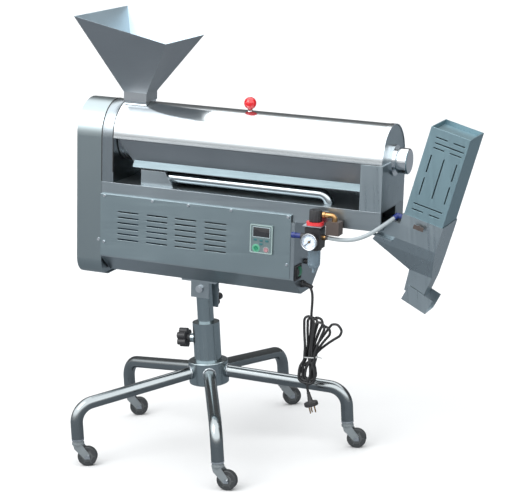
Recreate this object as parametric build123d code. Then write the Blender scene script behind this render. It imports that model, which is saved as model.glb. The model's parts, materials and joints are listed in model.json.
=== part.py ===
from build123d import *
import os
from math import asin, atan2, cos, degrees, pi, radians, sin, tan

# Capsule polisher with an air sorter, on a height-adjustable stand with five casters.
# Millimetres, +Z up.  +X points to the discharge and sorter end, -Y to the operator.
# The origin is on the floor, under the middle of the whole machine.

# ---- Driving dimensions -------------------------------------------------------------

COLUMN_X = -200.3          # where the stand's column stands in the part's frame
COLUMN_Y = -24.0
SHEET = 1.5                # thickness of most sheet metal
FIT = 0.05                 # radial clearance of turning and sliding fits

# Stand
LEG_ANGLES = [-135.6, -63.6, 8.4, 80.4, 152.4]
LEG_R = 16.0               # outer radius of the leg tube
LEG_WALL = 2.0
LEG_REACH = 365.0          # column axis to the vertical end of a leg
LEG_TOP_Z = 200.0          # leg centreline at the hub
LEG_CORNER_Z = 156.0       # leg centreline where it turns down
LEG_BEND_R = 50.0
LEG_FOOT_Z = 72.0
HUB_R = 52.0
HUB_BOTTOM = 167.0
HUB_TOP = 228.0
POST_R = 35.5
POST_TOP = 330.0
COLUMN_R = 21.25
COLUMN_WALL = 2.5
COLUMN_BOTTOM = 207.0      # leaves 36 mm below it for lowering
COLUMN_TOP = 436.0
CLAMP_Z = 284.0            # height clamp knob

# Casters
CASTER_TRAILS = [20.0, 4.0, 14.0, 32.0, 26.0]   # direction each caster trails, degrees
TRAIL = 22.0
WHEEL_R = 25.0
WHEEL_WIDTH = 18.0
TREAD_CHAMFER = 1.5
SEAM_TURN = 180 / 126      # puts a mesh edge, not a facet, on the floor: 126 facets a turn
AXLE_R = 3.0

# Body tilt
TILT = 4.71                # degrees, discharge end low
BODY_Z = 417.9             # height of the body frame's origin
TILT_PIVOT_Z = 424.0       # height of the tilt bolt
PIVOT_RISE = TILT_PIVOT_Z - BODY_Z
BOLT_R = 6.0
SLOT_R = 38.0              # tilt bolt to clamp stud
STUD_R = 5.0

# Drum and hood, in the body frame (origin near the tilt bolt)
AXIS_Z = 388.3
HOOD_R = 88.0
DRIVE_LEFT = -325.0
BULKHEAD_X = -254.0
HOOD_LEFT = -221.0
HOOD_RIGHT = 498.0
SCREEN_R = 68.0
SCREEN_LEFT = -219.0
SCREEN_RIGHT = 438.0
SHAFT_R = 10.0
BRUSH_R = 64.0
BRUSH_CORE_R = 16.0
BRUSH_PITCH = 105.0
HINGE_Y = 95.5
HINGE_Z = 390.0

# Body
BOX_HALF = 93.5
BOX_RIGHT = 280.5
BOX_FLAT_Z = 78.0          # where the side walls turn in
BOX_FOOT_HALF = 37.0
BOX_BOTTOM = 31.0
BEAM_BOTTOM = 225.0
BEAM_TOP = 273.0
BEAM_RIGHT = 500.0
COVER_Y = -95.0
COVER_TOP = 243.0
COVER_BOTTOM = 81.0

# Hopper
NECK_LEFT, NECK_RIGHT, NECK_HALF = -219.0, -159.0, 30.0
NECK_TOP = 491.0
COLLAR_BOTTOM = 478.5
CONE_BOTTOM = 500.0
RIM_LEFT_X, RIM_RIGHT_X = -303.5, -65.0
RIM_LEFT_Z, RIM_RIGHT_Z = 698.0, 641.0
RIM_FLARE = 0.588          # front and rear faces, outward per unit of height
HOPPER_SHEET = 1.5

# Drive
MOTOR_Z = 118.0
MOTOR_PULLEY_R = 28.0
BRUSH_PULLEY_R = 56.0
BELT_X = -296.0
BELT_WIDTH = 14.0

# Air set
REG_X, REG_Y = 342.5, -114.0
PORT_Z = 200.0             # height of the regulator's ports
DIAL_Z = 197.0             # centre of the pressure gauge
NEEDLE_ZERO = 135.0        # degrees from the top of the dial to its zero
AIR_BORE_R = 4.1           # takes an 8 mm air tube
BOWL_R, BOWL_FLOOR = 15.5, 136.0

# Operator controls, in the body frame
CONTROL_X, CONTROL_Z = (168, 223), (141, 209)
KEY_R = 5.5
KEYS = {"start_key": (182.0, 151.0), "stop_key": (209.0, 149.0)}
SWITCH_Y, SWITCH_Z = (-82, -48), (79, 109)
SWITCH_ROCK_R = 19.0
SWITCH_ROCK_X = BOX_RIGHT - 10.0
SWITCH_THROW = 6.0         # degrees either side of level
GLAND_Y, GLAND_Z = -33.0, 57.0
GLAND_END_X = BOX_RIGHT + 5.0

# Hood hinges and handle
HINGE_X = (-60.0, 330.0)
HINGE_PIN_R = 2.5
HANDLE_X = 116.0

# Suction pipe and hose port
PIPE_R = 13.5
PIPE_Y = -50.0
PIPE_Z = 295.0
PIPE_END_X = 352.0
PIPE_LOW_Z = 246.0
PIPE_BEND = 23.0
PORT_R = 19.0
PORT_LENGTH = 32.0

# Air hose, from the regulator to the sorter
HOSE_R = 5.0
HOSE_START_X, HOSE_START_Z = 377.0, 203.0

# Sorter: its own frame leans toward the discharge side
SORTER_X, SORTER_Z = 547.7, 265.1
SORTER_LEAN = 14.66
TOWER_W, TOWER_H, TOWER_HALF = 100.8, 233.0, 59.3
RECEIVER = (-2.2, 103.0)    # the chute's top collar, round the tower

# Power cord
CORD_D = 6.5

# The air hose's route between its two fittings, in the body frame
HOSE_ROUTE = [(HOSE_START_X, REG_Y, HOSE_START_Z), (402, -114, 201.5), (432, -113, 203),
              (461, -109.5, 212), (487, -104, 227), (507, -92, 243), (517.5, -77.5, 251.5), (525, -63, 258.5)]

# Lead from the gland to the hank, and tail from the hank to the plug, in the stand's frame
LEAD_ROUTE = [(289.3, -33, 451.2), (296.2, -33, 450.6), (303.4, -33, 447.2), (309, -33.2, 441.5),
              (312.3, -33.5, 433.7), (313.8, -34, 421.8), (312.6, -34, 404.8), (310.5, -33.5, 390),
              (308.5, -33, 376)]
TAIL_ROUTE = [(286, -33, 186), (287.5, -33.4, 180), (288, -34, 172.5), (290.6, -33, 166)]
PLUG_TOP = (290.6, -33, 166)
PLUG_LEAN = -12.0

STAND = Location((COLUMN_X, COLUMN_Y, 0))
BODY = STAND * Location((0, 0, BODY_Z), (0, TILT, 0))
SORTER = BODY * Location((SORTER_X, 0, SORTER_Z), (0, SORTER_LEAN, 0))

os.makedirs("parts", exist_ok=True)
NODES = {}


# ---- Helpers ------------------------------------------------------------------------

def block(x, y, z):
    """A box from (low, high) pairs."""
    size = Box(x[1] - x[0], y[1] - y[0], z[1] - z[0])
    return Pos((x[0] + x[1]) / 2, (y[0] + y[1]) / 2, (z[0] + z[1]) / 2) * size


def rod_x(r, x, y, z):
    return Pos((x[0] + x[1]) / 2, y, z) * Rot(0, 90, 0) * Cylinder(r, x[1] - x[0])


def rod_y(r, x, y, z):
    return Pos(x, (y[0] + y[1]) / 2, z) * Rot(90, 0, 0) * Cylinder(r, y[1] - y[0])


def rod_z(r, x, y, z):
    return Pos(x, y, (z[0] + z[1]) / 2) * Cylinder(r, z[1] - z[0])


def sheet_x(points, x):
    """A prism along X from a closed outline of (y, z) points."""
    outline = Plane.YZ * Polyline(*points, close=True)
    return Pos(x[0], 0, 0) * extrude(make_face(outline), x[1] - x[0], dir=(1, 0, 0))


def sheet_y(points, y):
    """A prism along Y from a closed outline of (x, z) points."""
    outline = Polyline(*[(px, y[0], pz) for px, pz in points], close=True)
    return extrude(make_face(outline), y[1] - y[0], dir=(0, 1, 0))


def arch(half, bottom, x):
    """A stadium-topped prism along X: straight sides, half-round crown on the drum axis."""
    return block(x, (-half, half), (bottom, AXIS_Z)) + rod_x(half, x, 0, AXIS_Z)


def tube_on(path, r, bore=0.0):
    start = Plane(path @ 0, z_dir=path % 0)
    solid = sweep(start * Circle(r), path=path)
    return solid - sweep(start * Circle(bore), path=path) if bore else solid


def star_knob(r, lobes, depth, stud_r, stud, skirt_r, skirt):
    """A lobed clamp knob on +Z: skirt from 0, head above it, stud below."""
    lobe_r = r * 0.34
    head = Cylinder(r - lobe_r * 0.8, depth)
    for i in range(lobes):
        head += Rot(0, 0, 360 * i / lobes) * Pos(r - lobe_r, 0, 0) * Cylinder(lobe_r, depth)
    knob = Pos(0, 0, skirt + depth / 2) * head
    knob += rod_z(skirt_r, 0, 0, (0, skirt))
    return knob + rod_z(stud_r, 0, 0, (-stud, 0))


def save(name, shape, frame=STAND):
    """Places a node in the part's frame and writes it."""
    solids = shape.solids() if hasattr(shape, "solids") else list(shape)
    placed = [frame * solid for solid in solids]
    node = placed[0] if len(placed) == 1 else Compound(children=placed)
    node.label = name
    export_step(node, f"parts/{name}.step")
    NODES[name] = node


# ---- Stand --------------------------------------------------------------------------

def make_stand():
    hub = rod_z(HUB_R, 0, 0, (HUB_BOTTOM, HUB_TOP))
    hub = fillet(hub.edges().filter_by(GeomType.CIRCLE), 3)
    post = hub + rod_z(POST_R, 0, 0, (HUB_BOTTOM + 3, POST_TOP))
    post += rod_x(12, (-POST_R - 8, -POST_R + 6), 0, CLAMP_Z)
    post -= rod_z(COLUMN_R + FIT, 0, 0, (HUB_BOTTOM + 4, POST_TOP + 1))
    post -= rod_x(STUD_R + FIT, (-POST_R - 9, 0), 0, CLAMP_Z)
    save("stand_post", post)

    route = FilletPolyline(
        (HUB_R - 8, 0, LEG_TOP_Z - 1), (LEG_REACH, 0, LEG_CORNER_Z), (LEG_REACH, 0, LEG_FOOT_Z),
        radius=LEG_BEND_R)
    leg = tube_on(route, LEG_R, LEG_R - LEG_WALL) - rod_z(HUB_R, 0, 0, (HUB_BOTTOM, HUB_TOP))
    save("stand_legs", [Rot(0, 0, a) * leg for a in LEG_ANGLES])

    stem = rod_z(LEG_R, 0, 0, (LEG_FOOT_Z - 4, LEG_FOOT_Z))
    stem += rod_z(LEG_R - LEG_WALL - 0.1, 0, 0, (LEG_FOOT_Z, LEG_FOOT_Z + 18))
    stem += rod_z(5, 0, 0, (54, LEG_FOOT_Z - 4))
    stem += rod_z(8, 0, 0, (51.5, 55))
    save("caster_stems", [foot(a) * stem for a in LEG_ANGLES])


def foot(angle):
    """The place under a leg's end."""
    return Pos(LEG_REACH * cos(radians(angle)), LEG_REACH * sin(radians(angle)), 0)


def make_casters():
    arm = [(-11, 56), (12, 56), (TRAIL + 7, 31), (TRAIL + 7, 19), (TRAIL - 6, 19), (-9, 47)]
    fork = rod_z(15, 0, 0, (56, 60)) + rod_z(14, 0, 0, (60, LEG_FOOT_Z - 5))
    for side in (-1, 1):
        inner, outer = 10.6 * side, 13.2 * side
        fork += sheet_y(arm, (min(inner, outer), max(inner, outer)))
    fork += block((-11, 12), (-13.2, 13.2), (55.9, 58))
    fork -= rod_z(5 + FIT, 0, 0, (40, 80))
    fork -= rod_y(AXLE_R + FIT, TRAIL, (-20, 20), WHEEL_R)
    axle = rod_y(AXLE_R, TRAIL, (-15, 15), WHEEL_R)
    axle += rod_y(5, TRAIL, (-17, -14), WHEEL_R) + rod_y(5, TRAIL, (14, 17), WHEEL_R)

    half = WHEEL_WIDTH / 2
    tyre = rod_y(WHEEL_R, TRAIL, (-half, half), WHEEL_R)
    tyre = chamfer(tyre.edges().filter_by(GeomType.CIRCLE), TREAD_CHAMFER)
    wheel = tyre + rod_y(8, TRAIL, (-half - 1, half + 1), WHEEL_R)
    wheel -= rod_y(AXLE_R + FIT, TRAIL, (-20, 20), WHEEL_R)
    axle_at = Pos(TRAIL, 0, WHEEL_R)
    wheel = axle_at * Rot(0, SEAM_TURN, 0) * axle_at.inverse() * wheel
    for i, (angle, trail) in enumerate(zip(LEG_ANGLES, CASTER_TRAILS), start=1):
        place = foot(angle) * Rot(0, 0, trail)
        save(f"caster_fork_{i}", [place * fork, place * axle])
        save(f"caster_wheel_{i}", place * wheel)


def make_column():
    column = rod_z(COLUMN_R, 0, 0, (COLUMN_BOTTOM, COLUMN_TOP))
    column -= rod_z(COLUMN_R - COLUMN_WALL, 0, 0, (COLUMN_BOTTOM - 1, TILT_PIVOT_Z - SLOT_R - 12))
    column -= rod_y(BOLT_R + FIT, 0, (-30, 30), TILT_PIVOT_Z)
    column -= rod_y(STUD_R + FIT, 0, (8, 30), TILT_PIVOT_Z - SLOT_R)
    save("inner_column", column)

    clamp = star_knob(25.5, 6, 22, STUD_R, 21, 11, 10)
    save("height_knob", Pos(-POST_R - 8.5, 0, CLAMP_Z) * Rot(0, -90, 0) * clamp)

    tilt_clamp = star_knob(27, 6, 20, STUD_R, 17, 12, 8)
    at_slot = Pos(0, 27.8, TILT_PIVOT_Z - SLOT_R)
    save("tilt_knob", at_slot * Rot(-90, 0, 0) * tilt_clamp)


def make_tilt_bracket():
    pivot = (-PIVOT_RISE * sin(radians(TILT)), PIVOT_RISE * cos(radians(TILT)))
    bracket = block((-48, 48), (-36, 36), (BOX_BOTTOM - 5, BOX_BOTTOM))
    bracket += block((-25, 25), (-27, -22), (-18, BOX_BOTTOM - 4))
    rear = block((-25, 30), (22, 27), (-52, BOX_BOTTOM - 4))
    slot = [(SLOT_R * cos(radians(a)), SLOT_R * sin(radians(a))) for a in (-94, -84, -74)]
    arc = ThreePointArc(*[(pivot[0] + x, 0, pivot[1] + z) for x, z in slot])
    for i in range(21):
        spot = arc @ (i / 20)
        rear -= rod_y(STUD_R + 0.3, spot.X, (20, 30), spot.Z)
    bracket += rear
    bracket -= rod_y(BOLT_R + FIT, pivot[0], (-40, 40), pivot[1])
    save("tilt_bracket", bracket, BODY)

    bolt = rod_y(BOLT_R, pivot[0], (-34, 34), pivot[1])
    bolt += rod_y(9.5, pivot[0], (-33, -27), pivot[1])
    nut = extrude(RegularPolygon(10, 6), 6)
    bolt += Pos(pivot[0], 33.5, pivot[1]) * Rot(90, 0, 0) * nut
    save("pivot_bolt", bolt, BODY)


# ---- Body shell ---------------------------------------------------------------------

def box_outline(inset):
    half, foot_half = BOX_HALF - inset, BOX_FOOT_HALF - inset * 0.6
    bottom, flat = BOX_BOTTOM + inset, BOX_FLAT_Z + inset * 0.4
    return [(-half, BEAM_BOTTOM), (-half, flat), (-foot_half, bottom),
            (foot_half, bottom), (half, flat), (half, BEAM_BOTTOM)]


def make_control_box():
    box = sheet_x(box_outline(0), (BULKHEAD_X, BOX_RIGHT))
    box -= sheet_x(box_outline(SHEET), (BULKHEAD_X - 1, BOX_RIGHT + 1))
    box -= block((BULKHEAD_X + 12, BOX_RIGHT - 12), (-100, -80), (112, BEAM_BOTTOM + 1))
    save("control_box", box, BODY)

    cover = block((BULKHEAD_X + 0.5, 272), (COVER_Y, -BOX_HALF), (COVER_BOTTOM, COVER_TOP))
    cover += block((BULKHEAD_X + 0.5, 272), (COVER_Y, -HOOD_R), (COVER_TOP - SHEET, COVER_TOP))
    for left, right in [(-204, -145), (-122, -64), (-42, 16), (40, 99)]:
        for i in range(6):
            z = 200 - 14.4 * i
            cover -= block((left, right), (-100, -90), (z - 1.8, z + 1.8))
    cover -= block(CONTROL_X, (-100, -90), CONTROL_Z)
    save("cover_plate", cover, BODY)

    spots = [(-242, 238), (-106, 238), (-6, 238), (111, 238), (264, 238), (-243, 117), (264, 117)]
    heads = []
    for x, z in spots:
        head = Pos(x, COVER_Y, z) * Sphere(4.2)
        heads.append(head & block((x - 5, x + 5), (COVER_Y - 2.6, COVER_Y), (z - 5, z + 5)))
    heads.append(rod_y(4, -262, (-HOOD_R - 2, -HOOD_R), 120))
    save("panel_screws", heads, BODY)

    panel = sheet_x(box_outline(0), (BOX_RIGHT, BOX_RIGHT + SHEET))
    panel -= block((BOX_RIGHT - 1, BOX_RIGHT + 3), SWITCH_Y, SWITCH_Z)
    panel -= rod_x(5 + FIT, (BOX_RIGHT - 1, BOX_RIGHT + 3), GLAND_Y, GLAND_Z)
    panel += rod_x(7, (BOX_RIGHT + SHEET, BOX_RIGHT + 9), -14, 111)
    save("end_panel", panel, BODY)


def make_upper_frame():
    wall = 2.0
    half = HOOD_R
    frame = block((BULKHEAD_X, BEAM_RIGHT), (-half, half), (BEAM_BOTTOM, BEAM_TOP))
    frame -= block((BULKHEAD_X + wall, BEAM_RIGHT - wall), (-half + wall, half - wall),
                   (BEAM_BOTTOM + wall, BEAM_TOP - wall))
    frame -= block((BULKHEAD_X + 14, BOX_RIGHT - 10), (-70, 70), (BEAM_BOTTOM - 1, BEAM_BOTTOM + 4))
    frame -= block((452, 492), (-60, 60), (BEAM_TOP - 4, BEAM_TOP + 1))
    frame -= block((BEAM_RIGHT - 4, BEAM_RIGHT + 1), (-80, 26), (BEAM_BOTTOM + 6, BEAM_TOP - 2))
    frame -= rod_z(PIPE_R + 1.5, PIPE_END_X, PIPE_Y, (BEAM_TOP - 4, BEAM_TOP + 1))
    frame -= rod_y(PIPE_R + 0.2, PIPE_END_X, (80, 90), PIPE_LOW_Z)
    frame += block((HOOD_LEFT, 444), (half - wall, half), (BEAM_TOP - 1, AXIS_Z - 1))
    save("upper_frame", frame, BODY)


def make_inlet_frame():
    span = (BULKHEAD_X, HOOD_LEFT - 0.3)
    frame = arch(HOOD_R, BEAM_TOP, span)
    frame -= arch(HOOD_R - 2, BEAM_TOP - 1, (span[0] - 1, span[1] - 2))
    frame -= rod_x(SHAFT_R + 3, (-260, -215), 0, AXIS_Z)
    save("inlet_frame", frame, BODY)


def make_trough():
    top, lip, floor = (85.6, 386.8), (60.0, 330.0), (57.0, 313.0)
    t = SHEET

    def side(s):
        return [(s * top[0], top[1]), (s * lip[0], lip[1]), (s * floor[0], floor[1]),
                (s * (floor[0] - 2), floor[1]), (s * (lip[0] - t), lip[1]),
                (s * (top[0] - t - 0.6), top[1])]

    span = (-206, 443.5)
    pan = sheet_x(side(-1), span) + sheet_x(side(1), span)
    pan += block(span, (-floor[0], floor[0]), (floor[1] - t, floor[1]))
    lip_outline = [(-lip[0] + 1, lip[1] + 1), (-72, 315.5), (-73.2, 316.6), (-lip[0] - 0.4, lip[1] + 3)]
    pan += sheet_x(lip_outline, (-174, 443.5))
    cut = [(-206.5, 388), (-205, 388), (-172.5, 316), (-172.5, 300), (-206.5, 300)]
    pan -= sheet_y(cut, (-100, 100))
    pan -= block((406, 438), (-40, 40), (floor[1] - 4, floor[1] + 1))
    save("trough", pan, BODY)


def make_discharge_duct():
    duct = block((444, 500), (-HOOD_R, HOOD_R), (BEAM_TOP, AXIS_Z - 1.5))
    duct -= block((444 + SHEET, 500 - SHEET), (-HOOD_R + SHEET, HOOD_R - SHEET), (BEAM_TOP - 1, AXIS_Z))
    plate = rod_x(HOOD_R - 2.5, (494.5, 496.5), 0, AXIS_Z) - block((490, 499), (-90, 90), (250, AXIS_Z - 2))
    duct += plate
    duct += block((494.5, 500), (-HOOD_R + SHEET, HOOD_R - SHEET), (AXIS_Z - 5, AXIS_Z - 1.5))
    duct -= rod_x(38.3, (496.5, 505), 0, AXIS_Z)
    duct -= rod_x(SCREEN_R + 1, (440, 450), 0, AXIS_Z)
    duct -= rod_x(SHAFT_R + 3, (480, 510), 0, AXIS_Z)
    save("discharge_duct", duct, BODY)


def make_bearings():
    outboard = rod_x(38, (496.6, 505), 0, AXIS_Z) + rod_x(26, (504, 512), 0, AXIS_Z)
    cap = rod_x(32, (511, 539), 0, AXIS_Z)
    outboard += fillet(cap.edges().filter_by(GeomType.CIRCLE), 4)
    outboard -= rod_x(SHAFT_R + FIT, (490, 531), 0, AXIS_Z)
    inboard = rod_x(30, (-240, HOOD_LEFT - 2.4), 0, AXIS_Z) - rod_x(SHAFT_R + FIT, (-245, -215), 0, AXIS_Z)
    save("shaft_bearings", [outboard, inboard], BODY)


def drive_outline(inset, x):
    half = HOOD_R - inset
    bottom, corner = 20.0 + inset, 45.0 - inset
    shape = arch(half, bottom + corner, x)
    shape += block(x, (-half + corner, half - corner), (bottom, bottom + corner + 1))
    for side in (-1, 1):
        shape += rod_x(corner, x, side * (half - corner), bottom + corner)
    return shape


def make_drive_end():
    cover = drive_outline(0, (DRIVE_LEFT, BULKHEAD_X - 0.2))
    cover -= drive_outline(SHEET, (DRIVE_LEFT + SHEET, BULKHEAD_X + 1))
    save("drive_cover", cover, BODY)

    bulkhead = drive_outline(SHEET + 0.3, (BULKHEAD_X - 7, BULKHEAD_X - 5))
    bulkhead -= rod_x(SHAFT_R + 3, (-270, -250), 0, AXIS_Z)
    bulkhead -= rod_x(14, (-270, -250), 0, MOTOR_Z)
    for y in (-60, 60):
        bulkhead += rod_x(8, (BULKHEAD_X - 5.5, BULKHEAD_X), y, 180)
    save("drive_bulkhead", bulkhead, BODY)

    motor = rod_x(46, (-247, -120), 0, MOTOR_Z) + rod_x(40, (-120, -108), 0, MOTOR_Z)
    motor += block((-215, -135), (-33, 33), (BOX_BOTTOM + SHEET, MOTOR_Z - 30))
    motor += block((-200, -150), (-25, 25), (MOTOR_Z + 30, MOTOR_Z + 68))
    save("drive_motor", motor, BODY)


def pulley(r, bore, x, z):
    width = BELT_WIDTH / 2
    wheel = rod_x(r, (x - width, x + width), 0, z)
    for side in (-1, 1):
        wheel += rod_x(r + 5, sorted((x + side * width, x + side * (width + 3))), 0, z)
    return wheel - rod_x(bore, (x - 30, x + 30), 0, z) if bore else wheel


def belt_loop(grow, x):
    """The outline of the belt run round both pulleys, as a solid."""
    big, small = BRUSH_PULLEY_R + grow, MOTOR_PULLEY_R + grow
    reach = AXIS_Z - MOTOR_Z
    lean = asin((big - small) / reach)
    flank = []
    for r, z, s in ((big, AXIS_Z, 1), (small, MOTOR_Z, 1), (small, MOTOR_Z, -1), (big, AXIS_Z, -1)):
        flank.append((s * r * cos(lean), z - r * sin(lean)))
    return sheet_x(flank, x) + rod_x(big, x, 0, AXIS_Z) + rod_x(small, x, 0, MOTOR_Z)


def make_belt_drive():
    span = (BELT_X - 5.5, BELT_X + 5.5)
    belt = belt_loop(4.3, span) - belt_loop(0.4, (span[0] - 1, span[1] + 1))
    save("drive_belt", belt, BODY)
    save("brush_pulley", pulley(BRUSH_PULLEY_R, SHAFT_R, BELT_X, AXIS_Z), BODY)
    motor_pulley = pulley(MOTOR_PULLEY_R, 0, BELT_X, MOTOR_Z)
    motor_pulley += rod_x(9, (BELT_X, -248), 0, MOTOR_Z)
    save("motor_pulley", motor_pulley, BODY)


# ---- Drum: screen, brush, suction ---------------------------------------------------

def make_drum():
    screen = rod_x(SCREEN_R, (SCREEN_LEFT, SCREEN_RIGHT), 0, AXIS_Z)
    screen -= rod_x(SCREEN_R - 1.2, (SCREEN_LEFT - 1, SCREEN_RIGHT + 1), 0, AXIS_Z)
    screen -= block((NECK_LEFT + 4, NECK_RIGHT - 4), (-26, 26), (AXIS_Z, AXIS_Z + 90))
    screen -= block((406, 434), (-40, 40), (AXIS_Z - 90, AXIS_Z))
    save("screen_tube", screen, BODY)

    shaft = rod_x(SHAFT_R, (-312, 529), 0, AXIS_Z)
    save("brush_shaft", shaft, BODY)

    core = rod_x(BRUSH_CORE_R, (-212, 436), 0, AXIS_Z)
    turns = 600.0
    helix = Helix(pitch=BRUSH_PITCH, height=turns, radius=BRUSH_CORE_R)
    bristle = Plane.XZ * Pos((BRUSH_CORE_R + BRUSH_R) / 2 - 2, 0) * Rectangle(BRUSH_R - BRUSH_CORE_R + 4, 9)
    strip = sweep(bristle, path=helix, is_frenet=True)
    strip = Pos(-190, 0, AXIS_Z) * Rot(0, 90, 0) * strip
    brush = core + strip - rod_x(SHAFT_R, (-230, 450), 0, AXIS_Z)
    save("spiral_brush", brush, BODY)


def make_suction():
    low, high = BEAM_TOP, 311.0
    outline = [(-150, low), (-60, low), (-83, high), (-150, high)]
    inner = [(-160, low + SHEET), (-63, low + SHEET), (-85, high - SHEET), (-160, high - SHEET)]
    hood_box = sheet_y(outline, (-72, 40)) - sheet_y(inner, (-72 + SHEET, 40 - SHEET))
    bore = rod_x(PIPE_R + 0.2, (-100, -40), PIPE_Y, PIPE_Z)
    save("suction_box", hood_box - bore, BODY)

    route = FilletPolyline(
        (-88, PIPE_Y, PIPE_Z), (PIPE_END_X, PIPE_Y, PIPE_Z), (PIPE_END_X, PIPE_Y, PIPE_LOW_Z),
        (PIPE_END_X, HOOD_R + 4, PIPE_LOW_Z), radius=PIPE_BEND)
    pipe = tube_on(route, PIPE_R, PIPE_R - SHEET)
    port = rod_y(PORT_R, PIPE_END_X, (HOOD_R + 0.5, HOOD_R + PORT_LENGTH), PIPE_LOW_Z)
    port -= rod_y(PORT_R - 2, PIPE_END_X, (HOOD_R + 4, HOOD_R + PORT_LENGTH + 1), PIPE_LOW_Z)
    port -= rod_y(PIPE_R - SHEET, PIPE_END_X, (HOOD_R - 1, HOOD_R + 5), PIPE_LOW_Z)
    save("vacuum_pipe", pipe + port, BODY)


# ---- Hood and hopper ----------------------------------------------------------------

def make_hood():
    shell = rod_x(HOOD_R, (HOOD_LEFT, HOOD_RIGHT), 0, AXIS_Z)
    shell += rod_x(HOOD_R + 1, (HOOD_RIGHT - 12, HOOD_RIGHT), 0, AXIS_Z)
    shell -= rod_x(HOOD_R - SHEET, (HOOD_LEFT - 1, HOOD_RIGHT + 1), 0, AXIS_Z)
    shell -= block((-230, 510), (-100, 100), (200, AXIS_Z))
    neck = block((NECK_LEFT, NECK_RIGHT), (-NECK_HALF, NECK_HALF), (459, NECK_TOP))
    bore = block((NECK_LEFT + SHEET, NECK_RIGHT - SHEET), (-NECK_HALF + SHEET, NECK_HALF - SHEET),
                 (400, NECK_TOP + 1))
    hood = shell + neck - bore
    for x in HINGE_X:
        for part in (-1, 1):
            lo, hi = sorted((x + part * 10.2, x + part * 24))
            hood += block((lo, hi), (HOOD_R - 2, HINGE_Y), (HINGE_Z - 1.2, HINGE_Z + 5.2))
            hood += rod_x(5.2, (lo, hi), HINGE_Y, HINGE_Z)
            hood -= rod_x(HINGE_PIN_R + FIT, (lo - 1, hi + 1), HINGE_Y, HINGE_Z)
    save("hood", hood, BODY)

    crown = AXIS_Z + HOOD_R
    handle = rod_z(4, HANDLE_X, 0, (crown - 0.2, 486)) + rod_z(7, HANDLE_X, 0, (crown, 479))
    handle += Pos(HANDLE_X, 0, 495) * Sphere(15.5)
    save("hood_handle", handle - rod_x(HOOD_R, (100, 130), 0, AXIS_Z), BODY)

    hinges = []
    for x in HINGE_X:
        leaf = block((x - 10, x + 10), (HOOD_R, HOOD_R + 2), (HINGE_Z - 45, HINGE_Z - 3))
        leaf += block((x - 10, x + 10), (HOOD_R, HINGE_Y + 2), (HINGE_Z - 5, HINGE_Z - 3))
        leaf += rod_x(5, (x - 10, x + 10), HINGE_Y, HINGE_Z)
        leaf += rod_x(HINGE_PIN_R, (x - 26, x + 26), HINGE_Y, HINGE_Z)
        hinges.append(leaf)
    save("hood_hinges", hinges, BODY)


def hopper_cone(inset, low, high):
    """The flared part between two heights, as a solid pyramid."""
    left = (NECK_LEFT - RIM_LEFT_X - 2) / (RIM_LEFT_Z - CONE_BOTTOM)
    right = (RIM_RIGHT_X - NECK_RIGHT - 2) / (RIM_RIGHT_Z - CONE_BOTTOM)
    faces = []
    for z in (low, high):
        up = z - CONE_BOTTOM
        x = (NECK_LEFT - 2 - left * up + inset, NECK_RIGHT + 2 + right * up - inset)
        half = NECK_HALF + 2 + RIM_FLARE * up - inset
        centre = Pos((x[0] + x[1]) / 2, 0, z)
        faces.append((centre * Rectangle(x[1] - x[0], 2 * half)).face())
    return loft(faces, ruled=True)


def make_hopper():
    top = RIM_LEFT_Z + 30
    cone = hopper_cone(0, CONE_BOTTOM, top) - hopper_cone(HOPPER_SHEET * 1.2, CONE_BOTTOM - 1, top + 1)
    slope = degrees(atan2(RIM_LEFT_Z - RIM_RIGHT_Z, RIM_RIGHT_X - RIM_LEFT_X))
    above = Pos(0, 0, 150) * Box(900, 900, 300)
    cone -= Pos(RIM_LEFT_X, 0, RIM_LEFT_Z) * Rot(0, slope, 0) * above
    outer = block((NECK_LEFT - 2, NECK_RIGHT + 2), (-NECK_HALF - 2, NECK_HALF + 2),
                  (COLLAR_BOTTOM, CONE_BOTTOM))
    gap = 0.7
    inner = block((NECK_LEFT - gap, NECK_RIGHT + gap), (-NECK_HALF - gap, NECK_HALF + gap),
                  (COLLAR_BOTTOM - 1, NECK_TOP + 0.4))
    ledge = block((NECK_LEFT + SHEET, NECK_RIGHT - SHEET), (-NECK_HALF + SHEET, NECK_HALF - SHEET),
                  (COLLAR_BOTTOM, CONE_BOTTOM + 1))
    save("feed_hopper", cone + (outer - inner) - ledge, BODY)


# ---- Controls and air set -----------------------------------------------------------

def make_controls():
    bezel = block((165, 226), (COVER_Y - 3.5, COVER_Y), (138, 212))
    bezel += block((CONTROL_X[0] + 0.5, CONTROL_X[1] - 0.5), (COVER_Y - 1, -45),
                   (CONTROL_Z[0] + 0.5, CONTROL_Z[1] - 0.5))
    bezel -= block((173, 218), (COVER_Y - 4, COVER_Y - 2.5), (180, 205))
    for name, (x, z) in KEYS.items():
        bezel -= rod_y(KEY_R + 0.2, x, (COVER_Y - 4, COVER_Y + 1), z)
        save(name, rod_y(KEY_R, x, (COVER_Y - 5, COVER_Y - 0.4), z), BODY)
    save("speed_controller", bezel, BODY)

    mid_y, mid_z = (SWITCH_Y[0] + SWITCH_Y[1]) / 2, (SWITCH_Z[0] + SWITCH_Z[1]) / 2
    rocker = rod_y(SWITCH_ROCK_R, SWITCH_ROCK_X, (SWITCH_Y[0] + 2, SWITCH_Y[1] - 2), mid_z)
    rocker &= block((BOX_RIGHT - 6, BOX_RIGHT + 20), (mid_y - 30, mid_y + 30),
                    (SWITCH_Z[0] + 1.5, SWITCH_Z[1] - 1.5))
    thrown = Pos(SWITCH_ROCK_X, mid_y, mid_z) * Rot(0, -SWITCH_THROW, 0) * Pos(-SWITCH_ROCK_X, -mid_y, -mid_z)
    save("power_switch", thrown * rocker, BODY)

    gland = rod_x(9, (BOX_RIGHT + SHEET, GLAND_END_X), GLAND_Y, GLAND_Z)
    gland += rod_x(5, (BOX_RIGHT - 6, BOX_RIGHT + 2), GLAND_Y, GLAND_Z)
    save("cord_gland", gland, BODY)


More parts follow.
